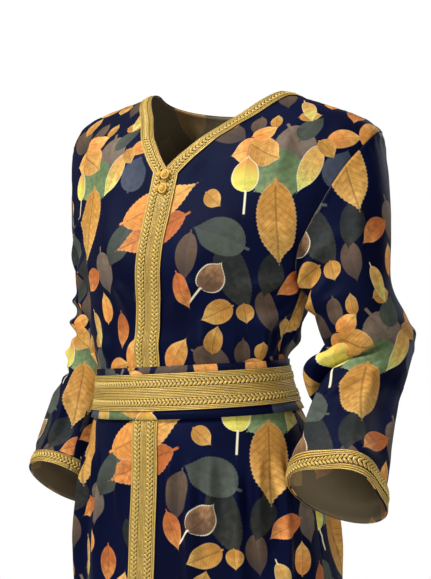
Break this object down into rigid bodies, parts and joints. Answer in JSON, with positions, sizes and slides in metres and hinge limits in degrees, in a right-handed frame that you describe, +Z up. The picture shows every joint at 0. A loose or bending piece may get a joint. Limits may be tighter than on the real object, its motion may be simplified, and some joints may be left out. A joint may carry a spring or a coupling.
{
  "type": "moroccan kaftan",
  "caption": "Full-length printed crepe kaftan with a V neck, long sleeves bent at the elbow, gold braid on neck, front and cuffs, and a braided belt, in its worn hollow form",
  "frame": {"origin": "On the shoulder line, midway between the shoulders, where the wearer carries the garment", "axes": "Z up along the body, the wearer faces -Y, the wearer's left is +X"},
  "size_m": [0.5572, 0.4324, 1.3686],
  "materials": {
    "printed_crepe": "matt navy crepe printed with autumn leaves in ochre, rust, sage and grey",
    "gold_braid": "woven metallic gold thread braid with corded edges and a plait down the middle"
  },
  "bodies": {
    "root": {"front": "printed_crepe", "back": "printed_crepe", "sleeve_left": "printed_crepe", "sleeve_right": "printed_crepe", "braid_left": "gold_braid", "braid_right": "gold_braid", "cuff_braid_left": "gold_braid", "cuff_braid_right": "gold_braid", "belt_band": "printed_crepe", "belt_braid_upper": "gold_braid", "belt_braid_lower": "gold_braid", "button_upper": "gold_braid", "button_lower": "gold_braid", "loop_upper": "gold_braid", "loop_lower": "gold_braid"}
  },
  "joints": []
}
